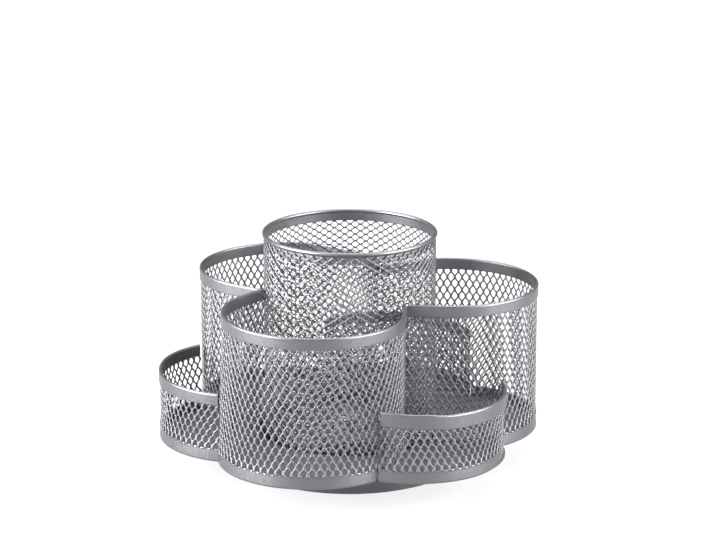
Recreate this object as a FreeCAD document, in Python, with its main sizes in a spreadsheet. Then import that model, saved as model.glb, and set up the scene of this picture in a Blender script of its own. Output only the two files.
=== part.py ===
import FreeCAD, Part
import Sketcher
import math
import os

# Rotating desk organizer: a six-lobed mesh carousel round a tall centre cup,
# turning on a pressed round base.  Millimetres, +Z up, origin at the centre of
# the face that stands on the desk.

os.makedirs("parts", exist_ok=True)
doc = FreeCAD.newDocument("organizer")

# ---------------------------------------------------------------- dimensions
sheet = doc.addObject("Spreadsheet::Sheet", "dims")

DIMENSIONS = [
    # plan of the carousel
    ("tall_centre", 42.2), ("tall_radius", 36.8),
    ("low_centre", 41.6), ("low_radius", 37.4), ("low_left_centre", 42.3),
    ("cup_radius", 35.65),
    # directions of the six compartments about +Z, counted from +X
    ("turn_tall_front", -110.5), ("turn_tall_right", 9.5), ("turn_tall_rear", 129.5),
    ("turn_low_front", -50.5), ("turn_low_left", -170.5), ("turn_low_rear", 69.5),
    # levels above the desk
    ("band_bottom", 12.8), ("band_top", 18.2),
    ("floor_under", 13.2), ("floor_top", 14.0),
    ("low_rim_top", 42.0), ("tall_rim_top", 76.0), ("cup_rim_top", 99.5),
    # mesh walls and their folded edge strips
    ("mesh_half", 0.25), ("strip_sheet", 0.4), ("strip_slot", 0.3),
    ("rim_drop", 5.0), ("low_front_rim_drop", 6.0), ("band_lip", 4.2),
    ("end_gap", 0.15), ("low_rim_short", 1.7),
    # where the straight end of a tall wall meets the cup
    ("tall_end_turn", 59.4), ("tall_rim_short", 0.5),
    # cup rim and foot
    ("bead_radius", 0.9), ("cup_band_drop", 4.9), ("cup_band_sheet", 0.5),
    ("cup_slip", 0.05), ("cup_foot_rise", 4.5), ("cup_foot_flange", 3.4),
    # base dish
    ("dish_radius", 48.3), ("dish_edge", 0.8), ("dish_sheet", 1.0),
    ("dish_top", 8.8), ("dish_corner", 4.0), ("dish_hem", 6.0),
    ("dish_edge_round", 0.6), ("dish_well_radius", 34.0), ("dish_well_slope", 3.0),
    ("dish_well_under", 5.0),
    ("pad_inner", 42.7), ("pad_outer", 45.9),
    # turntable bearing
    ("ball_radius", 2.5), ("ball_track", 20.0), ("ball_level", 9.45),
    ("ball_fit", 0.05), ("race_inner", 15.5), ("race_outer", 24.5),
    ("race_flange", 32.0), ("race_flange_sheet", 1.2), ("race_gap", 1.05),
    ("cage_inner", 16.6), ("cage_outer", 23.4), ("cage_half", 0.65),
    ("cage_pocket", 2.62),
    # rivets
    ("rivet_track", 28.5), ("rivet_shank", 1.6), ("rivet_hole", 1.65),
    ("rivet_head", 2.9), ("rivet_head_rise", 0.9),
    # centre pivot
    ("bolt_radius", 2.5), ("bolt_head", 4.6), ("bolt_head_rise", 2.4),
    ("bolt_top", 20.0), ("bush_bore", 2.55), ("bush_radius", 4.5),
    ("bush_top", 14.35), ("floor_bore", 4.55),
    ("washer_radius", 7.5), ("washer_bore", 2.7), ("washer_sheet", 1.0),
    ("nut_flats", 8.0), ("nut_rise", 3.6),
]
for row, (alias, value) in enumerate(DIMENSIONS, start=1):
    sheet.set("A%d" % row, alias.replace("_", " "))
    sheet.set("B%d" % row, str(value))
    sheet.setAlias("B%d" % row, alias)
doc.recompute()


def number(expression):
    """Value of an expression in the sheet's cells, for a first position."""
    result = sheet.evalExpression(expression)
    return float(getattr(result, "Value", result))


def cell(text):
    """Write the cell names in curly brackets out in full."""
    return text.replace("{", "dims.").replace("}", "")


def plane(body, role):
    for feature in body.Origin.OriginFeatures:
        if feature.Role == role:
            return feature
    raise RuntimeError("no %s in %s" % (role, body.Label))


def new_body(name):
    body = doc.addObject("PartDesign::Body", name)
    body.Label = name
    return body


def bind_point(sketch, geo, pos, x_text, y_text):
    """Fix one point of a sketch at two expressions."""
    for kind, text, axis in (("DistanceX", x_text, -2), ("DistanceY", y_text, -1)):
        value = number(cell(text))
        if abs(value) < 1e-9:
            sketch.addConstraint(Sketcher.Constraint("PointOnObject", geo, pos, axis))
            continue
        index = sketch.addConstraint(
            Sketcher.Constraint(kind, -1, 1, geo, pos, value))
        sketch.setExpression("Constraints[%d]" % index, cell(text))


def outline(body, name, points, role="XZ_Plane"):
    """Closed straight-sided profile; each corner is a pair of expressions."""
    sketch = body.newObject("Sketcher::SketchObject", name)
    sketch.AttachmentSupport = [(plane(body, role), "")]
    sketch.MapMode = "FlatFace"
    corners = [FreeCAD.Vector(number(cell(a)), number(cell(b)), 0) for a, b in points]
    count = len(corners)
    for i in range(count):
        sketch.addGeometry(Part.LineSegment(corners[i], corners[(i + 1) % count]), False)
    for i in range(count):
        sketch.addConstraint(
            Sketcher.Constraint("Coincident", i, 2, (i + 1) % count, 1))
    for i, (a, b) in enumerate(points):
        bind_point(sketch, i, 1, a, b)
    return sketch


def circle(body, name, x_text, y_text, radius_text, role="XZ_Plane"):
    sketch = body.newObject("Sketcher::SketchObject", name)
    sketch.AttachmentSupport = [(plane(body, role), "")]
    sketch.MapMode = "FlatFace"
    centre = FreeCAD.Vector(number(cell(x_text)), number(cell(y_text)), 0)
    radius = number(cell(radius_text))
    sketch.addGeometry(
        Part.Circle(centre, FreeCAD.Vector(0, 0, 1), radius), False)
    bind_point(sketch, 0, 3, x_text, y_text)
    index = sketch.addConstraint(Sketcher.Constraint("Radius", 0, radius))
    sketch.setExpression("Constraints[%d]" % index, cell(radius_text))
    return sketch


def turned(body, name, sketch, angle_text=None):
    """Revolve a profile about the body's Z axis, all round or by an angle."""
    feature = body.newObject("PartDesign::Revolution", name)
    feature.Profile = sketch
    feature.ReferenceAxis = (sketch, ["V_Axis"])
    if angle_text is None:
        feature.Angle = 360.0
    else:
        feature.Midplane = True
        feature.setExpression("Angle", cell(angle_text))
    sketch.Visibility = False
    body.Tip = feature
    return feature


def grooved(body, name, sketch):
    feature = body.newObject("PartDesign::Groove", name)
    feature.Profile = sketch
    feature.ReferenceAxis = (sketch, ["V_Axis"])
    feature.Angle = 360.0
    sketch.Visibility = False
    body.Tip = feature
    return feature


def drilled_ring(body, name, x_text, radius_text, count):
    """Holes through everything along Z, spaced evenly round the Z axis."""
    sketch = circle(body, name + "_circle", x_text, "0", radius_text, "XY_Plane")
    pocket = body.newObject("PartDesign::Pocket", name)
    pocket.Profile = sketch
    pocket.Type = "ThroughAll"
    pocket.Midplane = True
    sketch.Visibility = False
    body.Tip = pocket
    doc.recompute()
    pattern = body.newObject("PartDesign::PolarPattern", name + "_ring")
    pattern.Originals = [pocket]
    pattern.Axis = (plane(body, "Z_Axis"), [""])
    pattern.Angle = 360.0
    pattern.Occurrences = count
    body.Tip = pattern
    return pattern


def place(thing, centre_text, turn_text):
    """Put a lobe's piece at its centre, with local +X pointing outwards."""
    thing.Placement = FreeCAD.Placement(
        FreeCAD.Vector(0, 0, 0), FreeCAD.Rotation(FreeCAD.Vector(0, 0, 1), 1.0))
    thing.setExpression("Placement.Base.x", cell("%s * cos(%s * 1 deg)" % (centre_text, turn_text)))
    thing.setExpression("Placement.Base.y", cell("%s * sin(%s * 1 deg)" % (centre_text, turn_text)))
    thing.setExpression("Placement.Rotation.Angle", cell("%s * 1 deg" % turn_text))


# ------------------------------------------------------- plan of the lobes
# A point of a lobe's circle is named by the angle at the lobe's own centre,
# counted from the outward direction.

def reach_of_neighbour(centre, radius, other_centre, other_radius):
    """Angle at which a lobe's circle meets the circle 60 degrees further on."""
    span = "sqrt({0} ^ 2 + {1} ^ 2 - {0} * {1})".format(centre, other_centre)
    toward = "atan2({1} * sin(60 deg); {1} * cos(60 deg) - {0})".format(
        centre, other_centre)
    inner = "acos(({0} ^ 2 + ({1}) ^ 2 - ({2}) ^ 2) / (2 * {0} * ({1})))".format(
        span, radius, other_radius)
    return "({0} - {1})".format(toward, inner)


CUP_LIMIT = "({cup_radius} + {mesh_half} + {end_gap} + 0.1)"

# A tall wall leaves its circle along a tangent and runs straight to the cup.
END_IN = "({tall_centre} - %s * cos({tall_end_turn} * 1 deg))" % CUP_LIMIT
END_OUT = "(%s * sin({tall_end_turn} * 1 deg))" % CUP_LIMIT
END_FAR = "sqrt(%s ^ 2 + %s ^ 2)" % (END_IN, END_OUT)
tall_arc_reach = "(180 deg - atan2(%s; %s) - acos({tall_radius} / %s))" % (
    END_OUT, END_IN, END_FAR)
tall_run = "sqrt(%s ^ 2 + %s ^ 2 - {tall_radius} ^ 2)" % (END_IN, END_OUT)

tall_band_reach = reach_of_neighbour("{tall_centre}", "{tall_radius}", "{low_left_centre}",
                                     "{low_radius} + {mesh_half} + 2 * {end_gap}")

# ------------------------------------------------------------ lobe pieces
SUBPARTS = []


def straight_ends(body, name, points, reach, run):
    """Carry a swept profile straight on from both ends of its arc."""
    for side, sign in (("left", 1), ("right", -1)):
        sketch = outline(body, "%s_%s_section" % (name, side), points)
        sketch.AttachmentOffset = FreeCAD.Placement(
            FreeCAD.Vector(0, 0, 0), FreeCAD.Rotation(FreeCAD.Vector(0, 1, 0), 1.0))
        sketch.setExpression("AttachmentOffset.Rotation.Angle",
                             cell("%s%s" % ("-" if sign < 0 else "", reach)))
        feature = body.newObject("PartDesign::Pad", "%s_%s_run" % (name, side))
        feature.Profile = sketch
        feature.Reversed = sign > 0
        feature.setExpression("Length", cell(run))
        sketch.Visibility = False
        body.Tip = feature


def mesh_wall(name, centre, radius, top, reach, turn, run=None):
    """Curved wall standing on the floor, up to the crown of its rim strip."""
    body = new_body(name)
    points = [
        ("%s - {mesh_half}" % radius, "{floor_top}"),
        ("%s + {mesh_half}" % radius, "{floor_top}"),
        ("%s + {mesh_half}" % radius, "%s - {strip_sheet}" % top),
        ("%s - {mesh_half}" % radius, "%s - {strip_sheet}" % top),
    ]
    turned(body, name + "_sweep", outline(body, name + "_section", points),
           "2 * " + reach)
    if run:
        straight_ends(body, name, points, reach, run)
    place(body, centre, turn)
    SUBPARTS.append(body)


def rim_strip(name, centre, radius, top, reach, turn, run=None, drop="{rim_drop}"):
    """Strip folded over the wall's upper edge, with softened upper corners."""
    body = new_body(name)
    out = "%s + {strip_slot}" % radius
    inn = "%s - {strip_slot}" % radius
    low = "%s - %s" % (top, drop)
    points = [
        (inn + " - {strip_sheet}", low),
        (inn, low),
        (inn, "%s - {strip_sheet}" % top),
        (out, "%s - {strip_sheet}" % top),
        (out, low),
        (out + " + {strip_sheet}", low),
        (out + " + {strip_sheet}", "%s - {strip_sheet}" % top),
        (out + " + 0.3 * {strip_sheet}", top),
        (inn + " - 0.3 * {strip_sheet}", top),
        (inn + " - {strip_sheet}", "%s - {strip_sheet}" % top),
    ]
    turned(body, name + "_sweep", outline(body, name + "_section", points),
           "2 * " + reach)
    if run:
        straight_ends(body, name, points, reach, run)
    place(body, centre, turn)
    SUBPARTS.append(body)


def bottom_band(name, centre, radius, reach, turn):
    """Strip round the foot of a lobe, with a lip turned in under the floor."""
    body = new_body(name)
    wall = "%s + {strip_slot}" % radius
    face = "%s + {strip_slot} + {strip_sheet}" % radius
    sketch = outline(body, name + "_section", [
        (wall, "{band_top}"),
        (wall, "{floor_under}"),
        ("%s - {band_lip}" % radius, "{floor_under}"),
        ("%s - {band_lip}" % radius, "{band_bottom}"),
        (face + " - 0.5", "{band_bottom}"),
        (face + " - 0.15", "{band_bottom} + 0.15"),
        (face, "{band_bottom} + 0.5"),
        (face, "{band_top}"),
    ])
    turned(body, name + "_sweep", sketch, "2 * " + reach)
    place(body, centre, turn)
    SUBPARTS.append(body)


for where in ("front", "right", "rear"):
    turn = "{turn_tall_%s}" % where
    lobe = "tall_" + where
    mesh_wall(lobe + "_mesh", "{tall_centre}", "{tall_radius}", "{tall_rim_top}",
              tall_arc_reach, turn, tall_run)
    rim_strip(lobe + "_rim", "{tall_centre}", "{tall_radius}", "{tall_rim_top}",
              tall_arc_reach, turn, tall_run + " - {tall_rim_short}")
    bottom_band(lobe + "_band", "{tall_centre}", "{tall_radius}",
                tall_band_reach, turn)

# the left low compartment stands a little further out than the other two
LOW_PLACES = (("front", "{low_centre}"), ("left", "{low_left_centre}"),
              ("rear", "{low_centre}"))

for where, centre in LOW_PLACES:
    turn = "{turn_low_%s}" % where
    lobe = "low_" + where
    low_mesh_reach = reach_of_neighbour(centre, "{low_radius}", "{tall_centre}",
                                        "{tall_radius} + {mesh_half} + {end_gap}")
    low_band_reach = reach_of_neighbour(centre, "{low_radius}", "{tall_centre}",
                                        "{tall_radius} + 0.7 + 2 * {end_gap}")
    mesh_wall(lobe + "_mesh", centre, "{low_radius}", "{low_rim_top}",
              low_mesh_reach, turn)
    rim_strip(lobe + "_rim", centre, "{low_radius}", "{low_rim_top}",
              "(" + low_mesh_reach + " - {low_rim_short} / {low_radius} * 1 rad)", turn,
              drop="{low_front_rim_drop}" if where == "front" else "{rim_drop}")
    bottom_band(lobe + "_band", centre, "{low_radius}", low_band_reach, turn)

# -------------------------------------------------------------- centre cup
cup_mesh = new_body("cup_mesh")
turned(cup_mesh, "cup_mesh_sweep", outline(cup_mesh, "cup_mesh_section", [
    ("{cup_radius} - {mesh_half}", "{floor_top}"),
    ("{cup_radius} + {mesh_half}", "{floor_top}"),
    ("{cup_radius} + {mesh_half}", "{cup_rim_top} - 2 * {bead_radius} - 0.1"),
    ("{cup_radius} - {mesh_half}", "{cup_rim_top} - 2 * {bead_radius} - 0.1"),
]))
SUBPARTS.append(cup_mesh)

# the inner band carries a round bead that caps the wall
cup_rim = new_body("cup_rim")
BAND_OUT = "{cup_radius} - {mesh_half} - {cup_slip}"
turned(cup_rim, "cup_rim_band", outline(cup_rim, "cup_rim_section", [
    (BAND_OUT + " - {cup_band_sheet}", "{cup_rim_top} - {cup_band_drop}"),
    (BAND_OUT, "{cup_rim_top} - {cup_band_drop}"),
    (BAND_OUT, "{cup_rim_top} - {bead_radius}"),
    (BAND_OUT + " - {cup_band_sheet}", "{cup_rim_top} - {bead_radius}"),
]))
turned(cup_rim, "cup_rim_bead", circle(
    cup_rim, "cup_rim_round", "{cup_radius} - 0.1", "{cup_rim_top} - {bead_radius}",
    "{bead_radius}"))
SUBPARTS.append(cup_rim)

cup_foot = new_body("cup_foot_ring")
turned(cup_foot, "cup_foot_sweep", outline(cup_foot, "cup_foot_section", [
    (BAND_OUT + " - {cup_foot_flange}", "{floor_top}"),
    (BAND_OUT, "{floor_top}"),
    (BAND_OUT, "{floor_top} + {cup_foot_rise}"),
    (BAND_OUT + " - {cup_band_sheet}", "{floor_top} + {cup_foot_rise}"),
    (BAND_OUT + " - {cup_band_sheet}", "{floor_top} + {cup_band_sheet}"),
    (BAND_OUT + " - {cup_foot_flange}", "{floor_top} + {cup_band_sheet}"),
]))
SUBPARTS.append(cup_foot)

# -------------------------------------------------------------- floor plate
def disc(name, radius_text, low_text, rise_text, x_text=None, y_text=None):
    thing = doc.addObject("Part::Cylinder", name)
    thing.setExpression("Radius", cell(radius_text))
    thing.setExpression("Height", cell(rise_text))
    thing.setExpression("Placement.Base.z", cell(low_text))
    if x_text is not None:
        thing.setExpression("Placement.Base.x", cell(x_text))
        thing.setExpression("Placement.Base.y", cell(y_text))
    return thing


FLOOR_RISE = "{floor_top} - {floor_under}"
floor_discs = [disc("floor_middle", "{cup_radius}", "{floor_under}", FLOOR_RISE)]
FLOOR_PLACES = (("tall", (("front", "{tall_centre}"), ("right", "{tall_centre}"),
                          ("rear", "{tall_centre}"))),
                ("low", LOW_PLACES))
for kind, places in FLOOR_PLACES:
    for where, centre in places:
        turn = "{turn_%s_%s}" % (kind, where)
        floor_discs.append(disc(
            "floor_%s_%s" % (kind, where),
            "{%s_radius} + {strip_slot} - {cup_slip}" % kind,
            "{floor_under}", FLOOR_RISE,
            "%s * cos(%s * 1 deg)" % (centre, turn),
            "%s * sin(%s * 1 deg)" % (centre, turn)))
floor_sheet = doc.addObject("Part::MultiFuse", "floor_sheet")
floor_sheet.Shapes = floor_discs
floor_sheet.Refine = True

floor_holes = [disc("floor_bore_hole", "{floor_bore}", "{floor_under} - 1", FLOOR_RISE + " + 2")]
for i in range(4):
    floor_holes.append(disc(
        "floor_rivet_hole_%d" % i, "{rivet_hole}", "{floor_under} - 1",
        FLOOR_RISE + " + 2",
        "{rivet_track} * cos(%d deg)" % (45 + 90 * i),
        "{rivet_track} * sin(%d deg)" % (45 + 90 * i)))
floor_drills = doc.addObject("Part::Compound", "floor_drills")
floor_drills.Links = floor_holes
floor_plate = doc.addObject("Part::Cut", "floor_plate")
floor_plate.Base = floor_sheet
floor_plate.Tool = floor_drills
floor_plate.Label = "floor_plate"
SUBPARTS.append(floor_plate)

# ------------------------------------------------------------- turntable base
# a pressed dish turned upside down: its edge is folded in over the anti-slip
# ring, and a shallow well in its top takes the bearing
dish = new_body("base_dish")
WELL_TOP = "{dish_well_under} + {dish_sheet}"
WELL_FOOT = "{dish_well_radius} + {dish_sheet} * 0.4"
dish_turn = turned(dish, "base_dish_sweep", outline(dish, "base_dish_section", [
    ("{bush_bore}", "{dish_well_under}"),
    (WELL_FOOT, "{dish_well_under}"),
    (WELL_FOOT + " + {dish_well_slope}", "{dish_top} - {dish_sheet}"),
    ("{dish_radius} - {dish_sheet}", "{dish_top} - {dish_sheet}"),
    ("{dish_radius} - {dish_sheet}", "{dish_edge} + {dish_sheet}"),
    ("{dish_radius} - {dish_hem}", "{dish_edge} + {dish_sheet}"),
    ("{dish_radius} - {dish_hem}", "{dish_edge}"),
    ("{dish_radius}", "{dish_edge}"),
    ("{dish_radius}", "{dish_top}"),
    ("{dish_well_radius} + {dish_well_slope}", "{dish_top}"),
    ("{dish_well_radius}", WELL_TOP),
    ("{bush_bore}", WELL_TOP),
]))
doc.recompute()


def rings_at(shape, radius, level):
    """Names of the full circular edges with a radius at a level."""
    found = []
    for i, edge in enumerate(shape.Edges, start=1):
        curve = edge.Curve
        if isinstance(curve, Part.Circle) and abs(curve.Radius - radius) < 1e-4 \
                and abs(curve.Center.z - level) < 1e-4:
            found.append("Edge%d" % i)
    return found


def rounded(body, name, base, radius, level, size_text):
    names = rings_at(base.Shape, radius, level)
    if not names:
        raise RuntimeError("no edge to round for " + name)
    feature = body.newObject("PartDesign::Fillet", name)
    feature.Base = (base, names)
    feature.Radius = number(cell(size_text))
    feature.setExpression("Radius", cell(size_text))
    body.Tip = feature
    doc.recompute()
    return feature


outer_round = rounded(dish, "base_dish_outer_round", dish_turn,
                      number("dims.dish_radius"), number("dims.dish_top"),
                      "{dish_corner}")
inner_round = rounded(dish, "base_dish_inner_round", outer_round,
                      number("dims.dish_radius - dims.dish_sheet"),
                      number("dims.dish_top - dims.dish_sheet"),
                      "{dish_corner} - {dish_sheet}")
edge_round = rounded(dish, "base_dish_edge_round", inner_round,
                     number("dims.dish_radius"), number("dims.dish_edge"),
                     "{dish_edge_round}")
well_round = rounded(dish, "base_dish_well_round", edge_round,
                     number("dims.dish_well_radius + dims.dish_well_slope"),
                     number("dims.dish_top"), "{dish_edge_round}")
drilled_ring(dish, "base_dish_rivet_hole", "{rivet_track}", "{rivet_hole}", 4)
SUBPARTS.append(dish)

pad = new_body("anti_slip_ring")
turned(pad, "anti_slip_sweep", outline(pad, "anti_slip_section", [
    ("{pad_inner}", "0"), ("{pad_outer}", "0"),
    ("{pad_outer}", "{dish_edge}"), ("{pad_inner}", "{dish_edge}"),
]))
SUBPARTS.append(pad)

lower_race = new_body("lower_race")
LOWER_TOP = "{ball_level} - {race_gap}"
RACE_SEAT = WELL_TOP
turned(lower_race, "lower_race_sweep", outline(lower_race, "lower_race_section", [
    ("{race_inner}", RACE_SEAT), ("{race_flange}", RACE_SEAT),
    ("{race_flange}", RACE_SEAT + " + {race_flange_sheet}"),
    ("{race_outer}", RACE_SEAT + " + {race_flange_sheet}"),
    ("{race_outer}", LOWER_TOP), ("{race_inner}", LOWER_TOP),
]))
grooved(lower_race, "lower_race_track", circle(
    lower_race, "lower_race_ball", "{ball_track}", "{ball_level}",
    "{ball_radius} + {ball_fit}"))
drilled_ring(lower_race, "lower_race_rivet_hole", "{rivet_track}", "{rivet_hole}", 4)
SUBPARTS.append(lower_race)

upper_race = new_body("upper_race")
UPPER_LOW = "{ball_level} + {race_gap}"
turned(upper_race, "upper_race_sweep", outline(upper_race, "upper_race_section", [
    ("{race_inner}", UPPER_LOW), ("{race_outer}", UPPER_LOW),
    ("{race_outer}", "{floor_under} - {race_flange_sheet}"),
    ("{race_flange}", "{floor_under} - {race_flange_sheet}"),
    ("{race_flange}", "{floor_under}"), ("{race_inner}", "{floor_under}"),
]))
grooved(upper_race, "upper_race_track", circle(
    upper_race, "upper_race_ball", "{ball_track}", "{ball_level}",
    "{ball_radius} + {ball_fit}"))
upper_holes = drilled_ring(upper_race, "upper_race_rivet_hole", "{rivet_track}",
                           "{rivet_hole}", 4)
upper_race.Placement = FreeCAD.Placement(
    FreeCAD.Vector(0, 0, 0), FreeCAD.Rotation(FreeCAD.Vector(0, 0, 1), 45.0))
SUBPARTS.append(upper_race)

cage = new_body("ball_cage")
turned(cage, "ball_cage_sweep", outline(cage, "ball_cage_section", [
    ("{cage_inner}", "{ball_level} - {cage_half}"),
    ("{cage_outer}", "{ball_level} - {cage_half}"),
    ("{cage_outer}", "{ball_level} + {cage_half}"),
    ("{cage_inner}", "{ball_level} + {cage_half}"),
]))
drilled_ring(cage, "ball_cage_pocket", "{ball_track}", "{cage_pocket}", 12)
SUBPARTS.append(cage)

balls = []
for i in range(12):
    ball = doc.addObject("Part::Sphere", "ball_%02d" % i)
    ball.setExpression("Radius", cell("{ball_radius}"))
    ball.setExpression("Placement.Base.x", cell("{ball_track} * cos(%d deg)" % (30 * i)))
    ball.setExpression("Placement.Base.y", cell("{ball_track} * sin(%d deg)" % (30 * i)))
    ball.setExpression("Placement.Base.z", cell("{ball_level}"))
    balls.append(ball)
bearing_balls = doc.addObject("Part::Compound", "bearing_balls")
bearing_balls.Links = balls
bearing_balls.Label = "bearing_balls"
SUBPARTS.append(bearing_balls)


# ------------------------------------------------------------------- rivets
def rivets(name, low_text, high_text, start):
    """Four solid rivets: a shank between a flat head at each end."""
    solids = []
    for i in range(4):
        angle = start + 90 * i
        x_text = "{rivet_track} * cos(%d deg)" % angle
        y_text = "{rivet_track} * sin(%d deg)" % angle
        pieces = [
            disc("%s_under_%d" % (name, i), "{rivet_head}",
                 low_text + " - {rivet_head_rise}", "{rivet_head_rise}", x_text, y_text),
            disc("%s_shank_%d" % (name, i), "{rivet_shank}", low_text,
                 "(%s) - (%s)" % (high_text, low_text), x_text, y_text),
            disc("%s_over_%d" % (name, i), "{rivet_head}", high_text,
                 "{rivet_head_rise}", x_text, y_text),
        ]
        rivet = doc.addObject("Part::MultiFuse", "%s_%d" % (name, i))
        rivet.Shapes = pieces
        rivet.Refine = True
        solids.append(rivet)
    group = doc.addObject("Part::Compound", name)
    group.Links = solids
    group.Label = name
    SUBPARTS.append(group)


rivets("base_rivets", "{dish_well_under}", RACE_SEAT + " + {race_flange_sheet}", 0)
rivets("floor_rivets", "{floor_under} - {race_flange_sheet}", "{floor_top}", 45)

# ------------------------------------------------------------- centre pivot
bolt = new_body("pivot_bolt")
turned(bolt, "pivot_bolt_sweep", outline(bolt, "pivot_bolt_section", [
    ("0", "{dish_well_under} - {bolt_head_rise}"),
    ("{bolt_head} - 0.8", "{dish_well_under} - {bolt_head_rise}"),
    ("{bolt_head}", "{dish_well_under} - {bolt_head_rise} + 1.0"),
    ("{bolt_head}", "{dish_well_under}"),
    ("{bolt_radius}", "{dish_well_under}"),
    ("{bolt_radius}", "{bolt_top} - 0.5"),
    ("{bolt_radius} - 0.5", "{bolt_top}"),
    ("0", "{bolt_top}"),
]))
SUBPARTS.append(bolt)

bush = new_body("pivot_bush")
turned(bush, "pivot_bush_sweep", outline(bush, "pivot_bush_section", [
    ("{bush_bore}", WELL_TOP), ("{bush_radius} + 2.5", WELL_TOP),
    ("{bush_radius} + 2.5", WELL_TOP + " + 1.2"),
    ("{bush_radius}", WELL_TOP + " + 1.2"),
    ("{bush_radius}", "{bush_top}"), ("{bush_bore}", "{bush_top}"),
]))
SUBPARTS.append(bush)

washer = new_body("pivot_washer")
turned(washer, "pivot_washer_sweep", outline(washer, "pivot_washer_section", [
    ("{washer_bore}", "{bush_top}"), ("{washer_radius}", "{bush_top}"),
    ("{washer_radius}", "{bush_top} + {washer_sheet}"),
    ("{washer_bore}", "{bush_top} + {washer_sheet}"),
]))
SUBPARTS.append(washer)

nut_hex = doc.addObject("Part::Prism", "nut_hexagon")
nut_hex.Polygon = 6
nut_hex.setExpression("Circumradius", cell("{nut_flats} / 2 / cos(30 deg)"))
nut_hex.setExpression("Height", cell("{nut_rise}"))
nut_hex.setExpression("Placement.Base.z", cell("{bush_top} + {washer_sheet}"))
nut_crown = doc.addObject("Part::Cone", "nut_crown")
nut_crown.setExpression("Radius1", cell("{nut_flats} / 2 / cos(30 deg) + 1.2"))
nut_crown.setExpression("Radius2", cell("{nut_flats} / 2 - 0.2"))
nut_crown.setExpression("Height", cell("{nut_rise}"))
nut_crown.setExpression("Placement.Base.z", cell("{bush_top} + {washer_sheet}"))
nut_body = doc.addObject("Part::Common", "nut_body")
nut_body.Base = nut_hex
nut_body.Tool = nut_crown
nut_bore = disc("nut_bore", "{bolt_radius} + 0.02", "{bush_top}", "{washer_sheet} + {nut_rise} + 2")
nut = doc.addObject("Part::Cut", "pivot_lock_nut")
nut.Base = nut_body
nut.Tool = nut_bore
nut.Label = "pivot_lock_nut"
SUBPARTS.append(nut)

# ---------------------------------------------------------- check and write
doc.recompute()
faults = []
for item in doc.Objects:
    if any(word in ("Invalid", "Error") for word in item.State):
        faults.append("%s: %s" % (item.Name, item.State))
for item in SUBPARTS:
    shape = item.Shape
    if shape.isNull() or not shape.isValid() or not shape.Solids:
        faults.append("%s: shape missing or not valid" % item.Label)
if faults:
    raise RuntimeError("; ".join(faults))

names = [item.Label for item in SUBPARTS]
if len(set(names)) != len(names):
    raise RuntimeError("two sub-parts share a name")
for item in SUBPARTS:
    item.Shape.exportStep(os.path.join("parts", item.Label + ".step"))
    box = item.Shape.BoundBox
    print("%-18s solids %2d volume %9.1f  x %7.2f %7.2f  y %7.2f %7.2f  z %6.2f %6.2f" % (
        item.Label, len(item.Shape.Solids), item.Shape.Volume,
        box.XMin, box.XMax, box.YMin, box.YMax, box.ZMin, box.ZMax))
print("sub-parts:", len(SUBPARTS))
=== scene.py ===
import math

import bpy
import numpy as np
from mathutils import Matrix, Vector


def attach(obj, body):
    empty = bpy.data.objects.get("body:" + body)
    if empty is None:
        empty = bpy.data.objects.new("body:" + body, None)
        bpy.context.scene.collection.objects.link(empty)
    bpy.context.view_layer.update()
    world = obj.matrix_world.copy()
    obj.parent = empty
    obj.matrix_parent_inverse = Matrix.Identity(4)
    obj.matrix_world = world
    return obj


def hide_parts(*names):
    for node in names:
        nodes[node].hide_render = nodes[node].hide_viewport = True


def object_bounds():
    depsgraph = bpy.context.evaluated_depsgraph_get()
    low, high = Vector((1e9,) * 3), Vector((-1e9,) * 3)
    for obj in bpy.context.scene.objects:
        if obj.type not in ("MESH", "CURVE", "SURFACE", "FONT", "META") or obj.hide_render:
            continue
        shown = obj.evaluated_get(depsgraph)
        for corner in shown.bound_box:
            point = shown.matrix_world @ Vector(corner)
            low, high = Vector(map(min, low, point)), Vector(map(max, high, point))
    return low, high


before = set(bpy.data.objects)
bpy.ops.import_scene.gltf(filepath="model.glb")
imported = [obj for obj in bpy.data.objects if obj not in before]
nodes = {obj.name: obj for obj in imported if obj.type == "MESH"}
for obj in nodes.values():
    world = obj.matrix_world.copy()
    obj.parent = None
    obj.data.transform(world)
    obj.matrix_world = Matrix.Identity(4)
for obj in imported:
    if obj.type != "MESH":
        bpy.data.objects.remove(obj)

CAD_LO, CAD_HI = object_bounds()
MM = 0.001
rng = np.random.default_rng(20)

# ------------------------------------------------------------------ sizes, mm
TALL_C, TALL_R = 42.2, 36.8
LOW_C, LOW_R = 41.6, 37.4
LOW_LEFT_C = 42.3
CUP_R = 35.65
FLOOR = 14.0
TALL = {"front": -110.5, "right": 9.5, "rear": 129.5}
LOW = {"front": -50.5, "left": -170.5, "rear": 69.5}
TALL_TOP, LOW_TOP, CUP_TOP = 76.0, 42.0, 99.5


def reach_next(c, r, c2, r2):
    span = math.sqrt(c * c + c2 * c2 - c * c2)
    toward = math.atan2(c2 * math.sin(math.pi / 3), c2 * math.cos(math.pi / 3) - c)
    return toward - math.acos((span ** 2 + r ** 2 - r2 ** 2) / (2 * span * r))


# a tall wall runs straight from its arc to the cup
END_R, END_TURN = CUP_R + 0.5, math.radians(59.4)
END_IN, END_OUT = TALL_C - END_R * math.cos(END_TURN), END_R * math.sin(END_TURN)
END_FAR = math.hypot(END_IN, END_OUT)
TALL_ARC = math.pi - math.atan2(END_OUT, END_IN) - math.acos(TALL_R / END_FAR)
TALL_RUN = math.sqrt(END_FAR ** 2 - TALL_R ** 2)
TALL_BAND = reach_next(TALL_C, TALL_R, (LOW_C + LOW_LEFT_C) / 2, LOW_R + 0.5)


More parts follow.
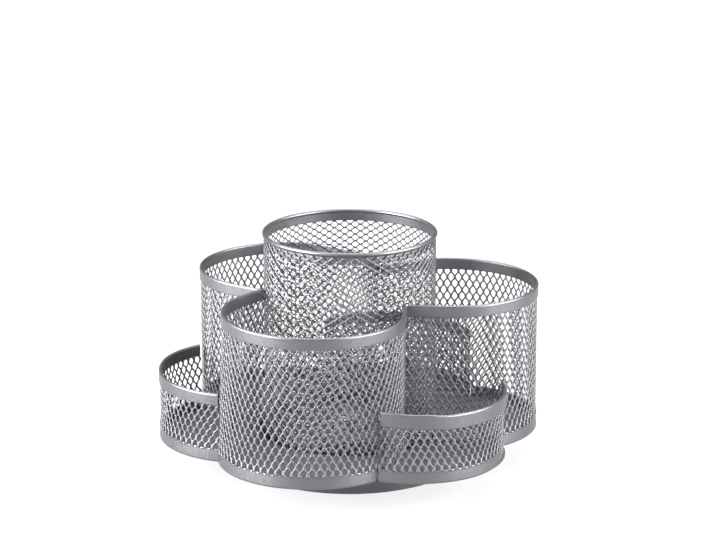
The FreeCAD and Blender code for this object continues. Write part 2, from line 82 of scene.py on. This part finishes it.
# ------------------------------------------------------------------ materials
def tree(name):
    mat = bpy.data.materials.new(name)
    mat.use_nodes = True
    nt = mat.node_tree
    nt.nodes.clear()
    out = nt.nodes.new("ShaderNodeOutputMaterial")
    shader = nt.nodes.new("ShaderNodeBsdfPrincipled")
    nt.links.new(shader.outputs[0], out.inputs[0])
    place = nt.nodes.new("ShaderNodeTexCoord")
    return mat, nt, shader, place.outputs["Object"]


def noise(nt, where, scale, detail=2.0, rough=0.5):
    n = nt.nodes.new("ShaderNodeTexNoise")
    n.inputs["Scale"].default_value = scale
    n.inputs["Detail"].default_value = detail
    n.inputs["Roughness"].default_value = rough
    nt.links.new(where, n.inputs["Vector"])
    return n.outputs["Fac"]


def ramp(nt, value, low, high, a=0.3, b=0.7):
    """Map a 0..1 value to a colour between low and high."""
    r = nt.nodes.new("ShaderNodeValToRGB")
    r.color_ramp.elements[0].position = a
    r.color_ramp.elements[1].position = b
    r.color_ramp.elements[0].color = (*low, 1)
    r.color_ramp.elements[1].color = (*high, 1)
    nt.links.new(value, r.inputs[0])
    return r.outputs[0]


def blend(nt, a, b, fac):
    m = nt.nodes.new("ShaderNodeMix")
    m.data_type = "RGBA"
    if isinstance(fac, float):
        m.inputs[0].default_value = fac
    else:
        nt.links.new(fac, m.inputs[0])
    nt.links.new(a, m.inputs[6])
    nt.links.new(b, m.inputs[7])
    return m.outputs[2]


def span(nt, value, lo, hi, a=0.3, b=0.7):
    m = nt.nodes.new("ShaderNodeMapRange")
    m.inputs["From Min"].default_value = a
    m.inputs["From Max"].default_value = b
    m.inputs["To Min"].default_value = lo
    m.inputs["To Max"].default_value = hi
    nt.links.new(value, m.inputs["Value"])
    return m.outputs[0]


def bump(nt, shader, height, distance, strength=1.0):
    b = nt.nodes.new("ShaderNodeBump")
    b.inputs["Distance"].default_value = distance
    b.inputs["Strength"].default_value = strength
    nt.links.new(height, b.inputs["Height"])
    nt.links.new(b.outputs[0], shader.inputs["Normal"])


def silver(name, tone, metallic, rough, flake=0.10, strand_shade=None, foot_shadow=None):
    """Silver-grey stoved paint: fine aluminium flake, faint cloudiness, light orange peel.

    strand_shade = share of the tone left on a strand's middle, a painted
    shade that makes the bonds stand out as painted highlights; the vertex
    attribute "bond" is 1 on a bond and 0 there.
    foot_shadow = (radius, half width) of a ring round the axis darkened as a painted shadow of
    the gap under the cup's foot, metres."""
    mat, nt, shader, where = tree(name)
    dark = tuple(c * (1 - flake) for c in tone)
    light = tuple(min(1.0, c * (1 + flake)) for c in tone)
    grain = ramp(nt, noise(nt, where, 5200, 1.0), dark, light, 0.36, 0.64)
    cloud_low = tuple(c * 0.95 for c in tone)
    cloud_high = tuple(min(1.0, c * 1.05) for c in tone)
    cloud = ramp(nt, noise(nt, where, 95, 3.0), cloud_low, cloud_high, 0.35, 0.65)
    mottle_low = tuple(c * 0.92 for c in tone)
    mottle_high = tuple(min(1.0, c * 1.08) for c in tone)
    mottle = ramp(nt, noise(nt, where, 430, 2.0), mottle_low, mottle_high, 0.32, 0.68)
    coat = blend(nt, blend(nt, grain, mottle, 0.45), cloud, 0.33)
    shade_share = None
    # painted highlight on the bonds: each bond keeps the full tone and the strand middles are
    # darkened as painted shade
    if strand_shade is not None:
        place = nt.nodes.new("ShaderNodeAttribute")
        place.attribute_name = "bond"
        shade_share = ramp(nt, place.outputs["Fac"], (strand_shade,) * 3, (1.0,) * 3, 0.25, 0.95)
    # painted shadow: a dark ring on the floor plate, standing in for the shade in the gap under
    # the cup's foot
    if foot_shadow is not None:
        flat = nt.nodes.new("ShaderNodeVectorMath")
        flat.operation = "MULTIPLY"
        flat.inputs[1].default_value = (1, 1, 0)
        nt.links.new(where, flat.inputs[0])
        far = nt.nodes.new("ShaderNodeVectorMath")
        far.operation = "LENGTH"
        nt.links.new(flat.outputs[0], far.inputs[0])
        off = nt.nodes.new("ShaderNodeMath")
        off.operation = "SUBTRACT"
        off.inputs[1].default_value = foot_shadow[0]
        nt.links.new(far.outputs["Value"], off.inputs[0])
        gap = nt.nodes.new("ShaderNodeMath")
        gap.operation = "ABSOLUTE"
        nt.links.new(off.outputs[0], gap.inputs[0])
        shade_share = ramp(nt, span(nt, gap.outputs[0], 0.0, 1.0, foot_shadow[1] * 0.6, foot_shadow[1] * 1.4),
                     (0.06,) * 3, (1.0,) * 3, 0.0, 1.0)
    # the coat is multiplied by the painted shade of the strands or the painted shadow ring
    if shade_share is not None:
        cover = nt.nodes.new("ShaderNodeMix")
        cover.data_type = "RGBA"
        cover.blend_type = "MULTIPLY"
        cover.inputs[0].default_value = 1.0
        nt.links.new(coat, cover.inputs[6])
        nt.links.new(shade_share, cover.inputs[7])
        coat = cover.outputs[2]
    nt.links.new(coat, shader.inputs["Base Color"])
    shader.inputs["Metallic"].default_value = metallic
    nt.links.new(span(nt, noise(nt, where, 700, 2.0), rough - 0.05, rough + 0.06),
                 shader.inputs["Roughness"])
    shader.inputs["Specular Tint"].default_value = (0.70, 0.70, 0.71, 1)
    shader.inputs["Coat Weight"].default_value = 0.10
    shader.inputs["Coat Roughness"].default_value = 0.28
    bump(nt, shader, noise(nt, where, 1500, 2.0), 0.00004, 0.5)
    return mat


PAINT = silver("silver_paint", (0.119, 0.122, 0.131), 0.82, 0.37)
MESH = silver("silver_mesh", (0.130, 0.133, 0.141), 0.80, 0.48, 0.12, strand_shade=0.56)
# the cup's mesh is a darker copy of the mesh paint: painted shade for the cup standing in the
# middle of the compartments
CUP_MESH_SHADED = silver("silver_cup_mesh_shaded", (0.104, 0.106, 0.113), 0.80, 0.46, 0.12, strand_shade=0.50)
# floor plate: a darker copy of the silver paint as painted shade, with a painted shadow ring at
# the cup's foot
FLOOR_SHADED = silver("silver_floor_shaded", (0.098, 0.100, 0.106), 0.6, 0.42, foot_shadow=(0.0374, 0.0013))
# base dish: a darker copy of the silver paint as painted shade, for the shade under the carousel
BASE_SHADED = silver("silver_base_shaded", (0.088, 0.090, 0.097), 0.85, 0.33)


def steel(name, tone, rough):
    mat, nt, shader, where = tree(name)
    stretch = nt.nodes.new("ShaderNodeMapping")
    stretch.inputs["Scale"].default_value = (1, 1, 12)
    nt.links.new(where, stretch.inputs["Vector"])
    lines = noise(nt, stretch.outputs[0], 900, 3.0)
    nt.links.new(ramp(nt, lines, tuple(c * 0.88 for c in tone), tone, 0.3, 0.7),
                 shader.inputs["Base Color"])
    shader.inputs["Metallic"].default_value = 1.0
    nt.links.new(span(nt, lines, rough - 0.06, rough + 0.08), shader.inputs["Roughness"])
    bump(nt, shader, lines, 0.00003, 0.3)
    return mat


STEEL = steel("bearing_steel", (0.60, 0.60, 0.61), 0.28)
# zinc tone kept dark as painted shade, for fasteners that sit in shade under and inside the
# carousel
ZINC_SHADED = steel("zinc_steel", (0.27, 0.275, 0.285), 0.42)


def plastic(name, tone, rough, scale):
    mat, nt, shader, where = tree(name)
    grain = noise(nt, where, scale, 3.0)
    nt.links.new(ramp(nt, grain, tuple(c * 0.86 for c in tone), tone),
                 shader.inputs["Base Color"])
    nt.links.new(span(nt, grain, rough - 0.08, rough + 0.08), shader.inputs["Roughness"])
    bump(nt, shader, grain, 0.00006, 0.5)
    return mat


NYLON = plastic("nylon", (0.80, 0.78, 0.71), 0.45, 1800)
RUBBER = plastic("black_rubber", (0.035, 0.035, 0.037), 0.78, 2600)


def wear(obj, mat):
    obj.data.materials.clear()
    obj.data.materials.append(mat)


# ------------------------------------------------------------------- geometry
def build(name, verts, faces, mat, body, stands_for=(), smooth=None, uvs=None,
          bond=None):
    # facets finer than the CAD's reach up to 0.02 mm further out on a curve
    verts = np.clip(np.asarray(verts, float), CAD_LO, CAD_HI)
    me = bpy.data.meshes.new(name)
    me.from_pydata([tuple(v) for v in verts], [], faces)
    me.validate()
    if uvs is not None:
        layer = me.uv_layers.new(name="OFBake")
        layer.data.foreach_set("uv", np.asarray(uvs, np.float32).ravel())
    if bond is not None:
        mark = me.attributes.new("bond", "FLOAT", "POINT")
        mark.data.foreach_set("value", np.asarray(bond, np.float32))
    if smooth is not None:
        me.shade_smooth()
        me.set_sharp_from_angle(angle=math.radians(smooth))
    me.update()
    ob = bpy.data.objects.new(name, me)
    bpy.context.scene.collection.objects.link(ob)
    me.materials.append(mat)
    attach(ob, body)
    if stands_for:
        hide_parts(*stands_for)
    return ob


def follow(radius, arc_reach, u):
    """Place and outward direction on a wall: an arc with straight ends.

    u is the distance along the wall from its middle, in mm."""
    u = np.asarray(u, float)
    beta = np.clip(u / radius, -arc_reach, arc_reach)
    past = u - beta * radius
    nx, ny = np.cos(beta), np.sin(beta)
    return radius * nx - past * ny, radius * ny + past * nx, nx, ny


def set_down(co, centre, turn):
    """Move lobe-centred points to their place on the carousel."""
    x = co[:, 0] + centre
    c, s = math.cos(turn), math.sin(turn)
    return np.stack([x * c - co[:, 1] * s, x * s + co[:, 1] * c, co[:, 2]], 1)


def lattice(name, mat, body, stands_for, radius, arc_reach, u0, u1, levels,
            pitch_u, upright, hexagon, waist, thick, slim, pillow, tilt, closed, centre,
            turn, lean=None, lift=None, shear=0.0, jitter=0.045):
    """Expanded-metal wall: six-cornered bonds joined by slanting strands.

    Each strand narrows to its middle, every edge is chamfered front and back,
    and each bond leans a little out of the sheet, as the cutting leaves it.
    levels = heights of the rows of bonds; hexagon = (half width, half flat,
    half length) of a bond, mm; waist = width of a strand's middle, as a part
    of its width at the bond; pillow = how far a bond's middle stands proud;
    shear = how far the pattern drifts along the wall per mm down it."""
    cols = int(round((u1 - u0) / pitch_u))
    step = (u1 - u0) / (2 * cols)
    drift = abs(shear) * (levels[-1] - levels[0]) / 2
    more = int(math.ceil(drift / step)) + 1 if shear else 0
    wa, fe, lb = hexagon
    rings = []
    for shrink, out in ((slim, thick / 2), (0.0, 0.0), (slim, -thick / 2)):
        a, b = wa - shrink, lb - shrink * 1.35
        rings.append([(a, fe), (0, b), (-a, fe), (-a, -fe), (0, -b), (a, -fe)])
    count_u = 2 * cols if closed else 2 * cols + 1
    last = len(levels) - 1
    middle = (levels[0] + levels[-1]) / 2
    index, pts = {}, []
    for iu in range(-more, count_u + more):
        for iw, level in enumerate(levels):
            if (iu + iw) % 2:
                continue
            at = u0 + iu * step + shear * (middle - level)
            if shear and not u0 - 0.01 <= at <= u1 + 0.01:
                continue
            ju, jw, jt = rng.uniform(-jitter, jitter, 3)
            if iw in (0, last):
                jw = 0.0
            index[(iu, iw)] = len(pts)
            for layer, ring in enumerate(rings):
                out = (thick / 2, 0.0, -thick / 2)[layer]
                for s, l in ring:
                    side = (tilt + jt) * s / wa
                    du, dw = (s, l) if upright else (l, s)
                    pts.append((at + du + ju, level + dw + jw, out + side))
            for out in (thick / 2 + pillow, -thick / 2 - pillow):
                pts.append((at + ju, level + jw, out))
    faces, sheet = [], []

    def add(face, half):
        faces.append(face)
        sheet.append(half)

    used = {k: set() for k in index}
    length = u1 - u0
    on_bonds = len(pts)

    def strip(A, sa, B, sb, wrap):
        """Strand from side sa of bond A to side sb of bond B."""
        p, q = index[A] + sa, index[A] + (sa + 1) % 6
        r, s = index[B] + sb, index[B] + (sb + 1) % 6
        m = len(pts)
        for layer in (0, 6, 12):
            ends = [np.array(pts[k + layer]) for k in (p, s, q, r)]
            if wrap:
                ends[1] = ends[1] + (length, 0, 0)
                ends[3] = ends[3] + (length, 0, 0)
            one, two = (ends[0] + ends[1]) / 2, (ends[2] + ends[3]) / 2
            mid = (one + two) / 2
            pts.append(tuple(mid + (one - mid) * waist))
            pts.append(tuple(mid + (two - mid) * waist))
        for far, near in (((p, q), None), ((s, r), 1)):
            # from a bond's side (e on the first edge, f on the second) to the waist
            e, f = far
            quads = [((e, f, m + 1, m), 0), ((e + 12, m + 4, m + 5, f + 12), 1),
                     ((e + 6, e, m, m + 2), 0), ((e + 12, e + 6, m + 2, m + 4), 1),
                     ((f, f + 6, m + 3, m + 1), 0), ((f + 6, f + 12, m + 5, m + 3), 1)]
            for quad, half in quads:
                add(tuple(reversed(quad)) if near else quad, half)
        used[A].add(sa)
        used[B].add(sb)

    for (iu, iw) in list(index):
        for side, other, du, dw in ((0, 3, 1, 1),
                                    (1, 4, -1, 1) if upright else (1, 4, 1, -1)):
            ju, wrap = iu + du, False
            if closed:
                wrap = ju >= count_u
                ju %= count_u
            if (ju, iw + dw) in index:
                strip((iu, iw), side, (ju, iw + dw), other, wrap)
    for key, start in index.items():
        for k in range(6):
            add((start + k, start + (k + 1) % 6, start + 18), 0)
            add((start + 12 + (k + 1) % 6, start + 12 + k, start + 19), 1)
        for side in range(6):
            if side in used[key]:
                continue
            p, q = start + side, start + (side + 1) % 6
            add((p, p + 6, q + 6, q), 0)
            add((p + 6, p + 12, q + 12, q + 6), 1)
    if not upright:
        faces = [tuple(reversed(f)) for f in faces]
    pts = np.array(pts)
    u, z, out = pts[:, 0], pts[:, 1].copy(), pts[:, 2].copy()
    if lean is not None:
        out += lean(u / radius, z)
    x, y, nx, ny = follow(radius, arc_reach, u)
    if lift is not None:
        z += lift(u / radius) * np.clip((z - FLOOR) / (levels[-1] - FLOOR), 0, 1)
    co = set_down(np.stack([x + nx * out, y + ny * out, z], 1), centre, turn)
    v = pts[:, 1] - pts[:, 1].min()
    tall = v.max() * 1.02
    loops = []
    for f, half in zip(faces, sheet):
        us = [u[k] for k in f]
        wrap = closed and max(us) - min(us) > length / 2
        for k in f:
            w = u[k] - u0
            if wrap and w > length / 2:
                w -= length
            loops.append((0.01 + 0.98 * (w + 1.5) / (length + 4.0),
                          0.005 + 0.985 * (v[k] + half * tall) / (2 * tall)))
    bond = np.arange(len(pts)) < on_bonds
    return build(name, co * MM, faces, mat, body, stands_for, 62, loops, bond)


def sweep(name, profile, centre, turn, radius, arc_reach, run, mat, body,
          stands_for=(), step=2.0, smooth=40, closed=False, lift=None, swell=None):
    """Carry a closed (out, z) profile along a wall; open ends are capped."""
    far = radius * arc_reach + run
    n = max(3, int(math.ceil(2 * far / step)))
    k = len(profile)
    count = n if closed else n + 1
    u = -far + 2 * far * np.arange(count) / n
    x, y, nx, ny = follow(radius, arc_reach, u)
    rise = lift(u / radius) if lift is not None else np.zeros(count)
    more = swell(u / radius) if swell is not None else np.zeros(count)
    verts = []
    for i in range(count):
        for out, z in profile:
            verts.append((x[i] + nx[i] * (out + more[i]), y[i] + ny[i] * (out + more[i]),
                          z + rise[i]))
    faces = []
    for i in range(n):
        j = (i + 1) % count
        for m in range(k):
            m2 = (m + 1) % k
            faces.append((i * k + m, j * k + m, j * k + m2, i * k + m2))
    if not closed:
        faces.append(tuple(range(k)))
        faces.append(tuple((count - 1) * k + m for m in range(k - 1, -1, -1)))
    area = sum(profile[m][0] * profile[(m + 1) % k][1] - profile[(m + 1) % k][0] * profile[m][1]
               for m in range(k))
    if area > 0:
        faces = [tuple(reversed(f)) for f in faces]
    co = set_down(np.array(verts), centre, turn)
    return build(name, co * MM, faces, mat, body, stands_for, smooth)


def arc(cx, cz, r, start, end, count):
    """Points of a small arc in a profile; angles in degrees from +r towards +z."""
    return [(cx + r * math.cos(math.radians(start + (end - start) * i / count)),
             cz + r * math.sin(math.radians(start + (end - start) * i / count)))
            for i in range(count + 1)]


def rim_profile(top, drop=5.0, half=0.7, slot=0.32):
    """Strip folded tightly over the wall's edge, with a full round fold on top."""
    crown = arc(0, top - half, half, 0, 180, 12)
    low = top - drop
    return ([(half - 0.10, low), (half, low + 0.12), (half, low + 0.35), (half, top - half - 0.3)]
            + crown
            + [(-half, top - half - 0.3), (-half, low + 0.35), (-half, low + 0.12),
               (-half + 0.10, low), (-slot, low),
               (-slot, top - 0.8), (slot, top - 0.8), (slot, low)])


def band_profile(bottom=12.8, top=18.2, lip=4.2, bend=0.75):
    face = 0.7
    return ([(0.31, top), (0.31, bottom + bend)]
            + arc(face - bend, bottom + bend, bend - 0.4, 0, -90, 5)
            + [(-lip, bottom + 0.4), (-lip, bottom)]
            + [(face - bend - 0.3, bottom)]
            + arc(face - bend, bottom + bend, bend, -90, 0, 8)
            + [(face, bottom + bend + 0.3), (face - 0.23, top - 0.35),
               (face - 0.24, top - 0.12), (face - 0.31, top)])


def between(*stops):
    """Smooth course through (degrees, value) stops, for a hand-bent edge's height."""
    xs = np.radians([p[0] for p in stops])
    ys = np.array([p[1] for p in stops])

    def course(beta):
        beta = np.clip(np.asarray(beta, float), xs[0], xs[-1])
        i = np.clip(np.searchsorted(xs, beta) - 1, 0, len(xs) - 2)
        t = (beta - xs[i]) / (xs[i + 1] - xs[i])
        t = t * t * (3 - 2 * t)
        return ys[i] * (1 - t) + ys[i + 1] * t
    return course


# the mesh: bonds in rows, long way of the openings upright on the compartments
# and level on the cup
LOBE_HEX, CUP_HEX = (0.56, 0.40, 1.06), (0.42, 0.34, 0.74)
CUP_U, CUP_W = 4.45, 2.95
WELD_ROW = 19.15


def rows(first, pitch, top):
    """Heights of the rows of bonds, with a short row at the floor."""
    low = first - pitch / 2
    foot = FLOOR + LOBE_HEX[2] + 0.04
    heights = [foot, low] if low - foot > 1.2 else [low]
    z = first
    while z < top:
        heights.append(z)
        z += pitch / 2
    return heights


LIFT = {
    "tall_front": between((-70, 0.6), (20, 0.0), (92, -0.55)),
    "tall_right": between((-130, -0.4), (130, -0.4)),
    "tall_rear": between((-130, -0.4), (130, -0.4)),
    "low_front": between((-61, 0.6), (-34, 0.0), (-16.5, -0.8), (20, -1.0), (62, -0.6)),
    "low_left": between((-66, 1.0), (-30, 1.0), (10, 0.0), (66, 0.0)),
    "low_rear": between((-60, 0.0), (60, 0.0)),
}
# how far a wall's foot stands out of its true arc, as bent
FOOT = {
    "tall_front": between((-66, 1.8), (-42, 1.3), (-12, 0.5), (12, 0.0), (66, 0.0)),
    "low_front": between((-66, 0.0), (0, 0.0), (24, -0.6), (50, -1.2), (66, -1.3)),
}
BULGE = {}
# pitch along the wall, pitch up it, drift of the pattern
WEAVE = {
    "tall_front": (3.25, 5.80, 0.0), "tall_right": (3.18, 5.67, 0.0),
    "tall_rear": (3.18, 5.67, 0.0), "low_front": (3.18, 5.54, 0.076),
    "low_left": (3.18, 5.45, -0.11), "low_rear": (3.18, 5.60, 0.0),
}


def stance(name, top):
    """Outward lean of a wall: pressed onto its band, free above it."""
    foot, bulge = FOOT.get(name), BULGE.get(name, 0.0)
    free = top - 5.6

    def lean(beta, z):
        up = np.clip((22.2 - z) / 3.6, 0, 1)
        down = np.clip((z - 17.3) / 0.6, 0, 1)
        out = 0.52 * up * down
        if foot is not None:
            out = out + foot(beta) * np.clip((free - z) / (free - 18.2), 0, 1)
        if bulge:
            mid = np.clip((z - 20.0) / (free - 20.0), 0, 1)
            out = out + bulge * np.clip(4 * mid * (1 - mid), 0, 1) ** 0.6
        return out
    return lean


def wall(name, centre, turn, radius, arc_reach, run, top, rim, rim_run, band, drop=5.0):
    """One compartment: its mesh, the strip over its edge and the strip at its foot."""
    pitch_u, pitch_w, shear = WEAVE[name]
    far = radius * arc_reach + run - LOBE_HEX[0] + (-0.05 if run else 0.1)
    lattice(name + "_lattice", MESH, "carousel", [name + "_mesh"],
            radius=radius, arc_reach=arc_reach, u0=-far, u1=far,
            levels=rows(WELD_ROW, pitch_w, top - 1.6), pitch_u=pitch_u, upright=True,
            hexagon=LOBE_HEX, waist=0.76, thick=0.38, slim=0.19, pillow=0.06,
            tilt=0.03, closed=False, centre=centre, turn=turn, lean=stance(name, top),
            lift=LIFT[name], shear=shear)
    sweep(name + "_rim_strip", rim_profile(top, drop), centre, turn, radius, rim,
          rim_run, PAINT, "carousel", [name + "_rim"], lift=LIFT[name])
    sweep(name + "_foot_strip", band_profile(), centre, turn, radius, band, 0.0,
          PAINT, "carousel", [name + "_band"], swell=FOOT.get(name))


for where, turn in TALL.items():
    wall("tall_" + where, TALL_C, math.radians(turn), TALL_R, TALL_ARC, TALL_RUN,
         TALL_TOP, TALL_ARC, TALL_RUN - 0.5, TALL_BAND)

for where, turn in LOW.items():
    c = LOW_LEFT_C if where == "left" else LOW_C
    reach = reach_next(c, LOW_R, TALL_C, TALL_R + 0.4)
    wall("low_" + where, c, math.radians(turn), LOW_R, reach, 0.0, LOW_TOP,
         reach - 1.7 / LOW_R, 0.0, reach_next(c, LOW_R, TALL_C, TALL_R + 1.0),
         6.0 if where == "front" else 5.0)

# centre cup
cup_rows = int(round((CUP_TOP - 1.9 - FLOOR - 2 * CUP_HEX[0]) / (CUP_W / 2)))
lattice("cup_lattice", CUP_MESH_SHADED, "carousel", ["cup_mesh"],
        radius=CUP_R, arc_reach=math.pi, u0=-math.pi * CUP_R, u1=math.pi * CUP_R,
        levels=list(np.linspace(FLOOR + CUP_HEX[0] + 0.03, CUP_TOP - 1.9 - CUP_HEX[0],
                                cup_rows + 1)),
        pitch_u=CUP_U, upright=False, hexagon=CUP_HEX, waist=0.68, thick=0.34,
        slim=0.13, pillow=0.04, tilt=-0.17, closed=True, centre=0.0, turn=0.0)

inside = -0.3
sweep("cup_rim_roll",
      [(inside, CUP_TOP - 4.9), (inside, CUP_TOP - 1.7)]
      + arc(-0.1, CUP_TOP - 0.9, 0.9, -108, 190, 22)
      + [(inside - 0.5, CUP_TOP - 1.3), (inside - 0.5, CUP_TOP - 1.7),
         (inside - 0.5, CUP_TOP - 4.6), (inside - 0.5, CUP_TOP - 4.8),
         (inside - 0.42, CUP_TOP - 4.9)],
      0.0, 0.0, CUP_R, math.pi, 0.0, PAINT, "carousel", ["cup_rim"],
      step=1.6, closed=True)

# ------------------------------------------------- finish of the kept CAD nodes
FINISH = {
    "cup_foot_ring": PAINT, "floor_plate": FLOOR_SHADED, "base_dish": BASE_SHADED,
    "anti_slip_ring": RUBBER, "lower_race": STEEL, "upper_race": STEEL,
    "bearing_balls": STEEL, "ball_cage": NYLON, "pivot_bush": NYLON,
    "base_rivets": ZINC_SHADED, "floor_rivets": ZINC_SHADED, "pivot_bolt": ZINC_SHADED,
    "pivot_washer": ZINC_SHADED, "pivot_lock_nut": ZINC_SHADED,
}
for node, mat in FINISH.items():
    wear(nodes[node], mat)

# ------------------------------------------------------------------- the stage
def paper():
    """White light-table sheet: mostly its own glow, so only a faint shadow shows on it."""
    mat, nt, shader, where = tree("studio_paper")
    shade = ramp(nt, noise(nt, where, 6.0, 2.0), (0.115, 0.115, 0.115), (0.125, 0.125, 0.125))
    nt.links.new(shade, shader.inputs["Base Color"])
    shader.inputs["Roughness"].default_value = 0.9
    shader.inputs["Specular IOR Level"].default_value = 0.0
    shader.inputs["Emission Color"].default_value = (1, 1, 1, 1)
    shader.inputs["Emission Strength"].default_value = 0.80
    return mat


me = bpy.data.meshes.new("studio_floor")
me.from_pydata([(-6, -6, 0), (6, -6, 0), (6, 9, 0), (-6, 9, 0)], [], [(0, 1, 2, 3)])
floor = bpy.data.objects.new("studio_floor", me)
bpy.context.scene.collection.objects.link(floor)
me.materials.append(paper())

world = bpy.data.worlds.new("studio")
bpy.context.scene.world = world
world.use_nodes = True
wn = world.node_tree
wn.nodes.clear()
bg = wn.nodes.new("ShaderNodeBackground")
bg.inputs[0].default_value = (1, 1, 1, 1)
bg.inputs[1].default_value = 0.04
wo = wn.nodes.new("ShaderNodeOutputWorld")
wn.links.new(bg.outputs[0], wo.inputs[0])


def soft_light(name, place, target, size, power, tint=(1, 1, 1)):
    data = bpy.data.lights.new(name, "AREA")
    data.shape = "RECTANGLE"
    data.size, data.size_y = size
    data.energy = power
    data.color = tint
    ob = bpy.data.objects.new(name, data)
    ob.location = place
    ob.rotation_mode = "QUATERNION"
    ob.rotation_quaternion = (Vector(target) - Vector(place)).to_track_quat("-Z", "Y")
    ob.visible_camera = False
    bpy.context.scene.collection.objects.link(ob)
    return ob


def beside(name, azimuth, width, power):
    """Upright softbox standing on the table, azimuth counted from the front."""
    a = math.radians(azimuth)
    soft_light(name, (1.15 * math.sin(a), -1.15 * math.cos(a), 0.40), (0, 0, 0.05),
               (width, 0.8), power)


beside("left_softbox", -72, 1.15, 88.0)
beside("right_softbox", 69, 1.10, 59.0)
soft_light("top_softbox", (0.0, 0.25, 1.15), (0, 0, 0.03), (1.7, 1.6), 48.0)

# ------------------------------------------------------------------- the camera
TILT = math.radians(15.79)
DIST = 1.264
aim = Vector((0.00342, 0.0, 0.0824))
look = Vector((0.0, math.cos(TILT), -math.sin(TILT)))
cam_data = bpy.data.cameras.new("camera")
cam_data.sensor_width = 36.0
cam_data.lens = 36.0 * 3034.0 / 716.0
cam_data.clip_start, cam_data.clip_end = 0.05, 30
cam = bpy.data.objects.new("camera", cam_data)
cam.location = aim - look * DIST
cam.rotation_mode = "QUATERNION"
cam.rotation_quaternion = look.to_track_quat("-Z", "Y")
bpy.context.scene.collection.objects.link(cam)
bpy.context.scene.camera = cam
bpy.context.scene.view_settings.view_transform = "Standard"
bpy.context.scene.view_settings.look = "None"
